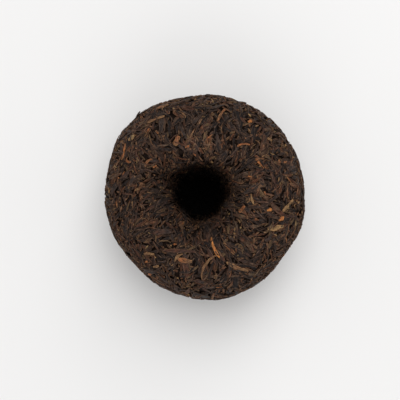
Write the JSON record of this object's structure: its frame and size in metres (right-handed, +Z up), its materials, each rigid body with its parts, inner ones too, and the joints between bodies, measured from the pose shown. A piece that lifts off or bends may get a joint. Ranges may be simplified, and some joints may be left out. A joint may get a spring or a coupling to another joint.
{
  "type": "pu-erh tuocha",
  "caption": "Pressed tea cake in the shape of a thick nest: a rounded dome with a flat spot to rest on, a broad ring of a rim and a deep hollow at its middle.",
  "frame": {"origin": "middle of the flat foot under the dome, where the cake rests", "axes": "+Z up along the axis of the hollow, out of its mouth; +Y towards the top of the cake as it was shown on edge; +X to its right"},
  "size_m": [0.0807, 0.0831, 0.0448],
  "materials": {
    "pressed_leaf": "matte"
  },
  "bodies": {
    "root": {"tuocha": "pressed_leaf"}
  },
  "joints": []
}
